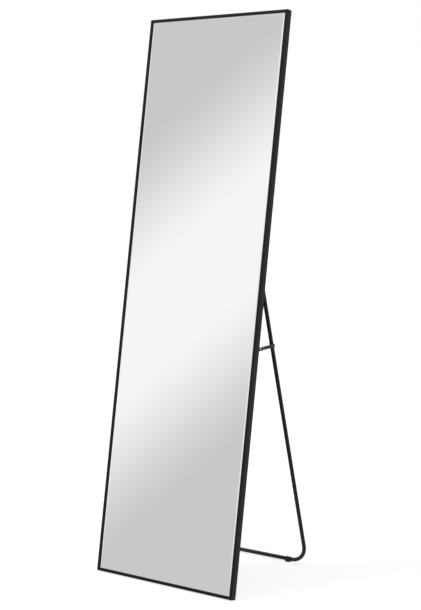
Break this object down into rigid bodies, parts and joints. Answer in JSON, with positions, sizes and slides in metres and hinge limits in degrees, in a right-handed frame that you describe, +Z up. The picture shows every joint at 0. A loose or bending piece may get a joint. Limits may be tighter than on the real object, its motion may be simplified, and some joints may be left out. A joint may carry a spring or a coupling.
{
  "type": "leaning floor mirror",
  "caption": "Full-length rectangular mirror in a slim black aluminium frame, leaning back on a folding U-shaped tube stand with riveted folding stays and rubber feet.",
  "frame": {"origin": "on the floor, in the middle of the footprint of the open mirror, between its left and right sides", "axes": "+X to the right of someone looking into the mirror, +Y to the back where the stand is, +Z up"},
  "size_m": [0.5, 0.444, 1.6337],
  "materials": {
    "frame_black": "satin black anodised",
    "key_alloy": "mill finish",
    "silvered_glass": "polished, silvered on the back",
    "foam": "closed-cell foam sheet",
    "board": "brown hardboard, smooth face",
    "stand_black": "satin black powder coat",
    "rubber_black": "matt",
    "plastic_black": "moulded, matt",
    "nylon": "moulded nylon",
    "screw_steel": "black zinc plate",
    "rivet_steel": "dark plated rivets"
  },
  "bodies": {
    "mirror": {"backing_board": "board", "corner_key_bottom_left": "key_alloy", "corner_key_bottom_right": "key_alloy", "corner_key_top_left": "key_alloy", "corner_key_top_right": "key_alloy", "corner_screws": "screw_steel", "floor_pad_left": "rubber_black", "floor_pad_right": "rubber_black", "foam_sheet": "foam", "frame_bottom_rail": "frame_black", "frame_left_stile": "frame_black", "frame_right_stile": "frame_black", "frame_top_rail": "frame_black", "mirror_glass": "silvered_glass", "pivot_bolt_left": "screw_steel", "pivot_bolt_right": "screw_steel", "pivot_bracket_left": "stand_black", "pivot_bracket_right": "stand_black", "pivot_bracket_screws": "screw_steel", "pivot_nut_left": "screw_steel", "pivot_nut_right": "screw_steel", "pivot_washers": "nylon", "stay_bracket_left": "stand_black", "stay_bracket_right": "stand_black", "stay_bracket_screws": "screw_steel", "stay_frame_rivet_left": "rivet_steel", "stay_frame_rivet_right": "rivet_steel"},
    "stand": {"stand_foot_left": "rubber_black", "stand_foot_right": "rubber_black", "stand_tube": "stand_black", "stay_rivet_tail_left": "rivet_steel", "stay_rivet_tail_right": "rivet_steel", "tube_plug_left": "plastic_black", "tube_plug_right": "plastic_black"},
    "stay_frame_left": {"stay_frame_link_left": "stand_black", "stay_mid_rivet_left": "rivet_steel"},
    "stay_leg_left": {"stay_leg_link_left": "stand_black", "stay_leg_rivet_left": "rivet_steel"},
    "stay_frame_right": {"stay_frame_link_right": "stand_black", "stay_mid_rivet_right": "rivet_steel"},
    "stay_leg_right": {"stay_leg_link_right": "stand_black", "stay_leg_rivet_right": "rivet_steel"}
  },
  "joints": [
    {"name": "stand_fold", "type": "hinge", "parent": "mirror", "child": "stand", "pos_m": [0, -0.04061, 0.94533], "axis": [1, 0, 0], "range_deg": [-24.25, 0]},
    {"name": "stay_frame_left_turn", "type": "hinge", "parent": "mirror", "child": "stay_frame_left", "pos_m": [-0.2136, -0.08285, 0.67865], "axis": [1, 0, 0], "range_deg": [0, 77.89]},
    {"name": "stay_leg_left_turn", "type": "hinge", "parent": "stay_frame_left", "child": "stay_leg_left", "pos_m": [-0.2113, -0.02622, 0.68174], "axis": [1, 0, 0], "range_deg": [-180, 0]},
    {"name": "stay_frame_right_turn", "type": "hinge", "parent": "mirror", "child": "stay_frame_right", "pos_m": [0.2136, -0.08285, 0.67865], "axis": [1, 0, 0], "range_deg": [0, 77.89]},
    {"name": "stay_leg_right_turn", "type": "hinge", "parent": "stay_frame_right", "child": "stay_leg_right", "pos_m": [0.2113, -0.02622, 0.68174], "axis": [1, 0, 0], "range_deg": [-180, 0]}
  ],
  "couplings": [
    {"joint": "stay_frame_left_turn", "follows": "stand_fold", "ratio": -3.2113},
    {"joint": "stay_leg_left_turn", "follows": "stand_fold", "ratio": 7.4227},
    {"joint": "stay_frame_right_turn", "follows": "stand_fold", "ratio": -3.2113},
    {"joint": "stay_leg_right_turn", "follows": "stand_fold", "ratio": 7.4227}
  ]
}
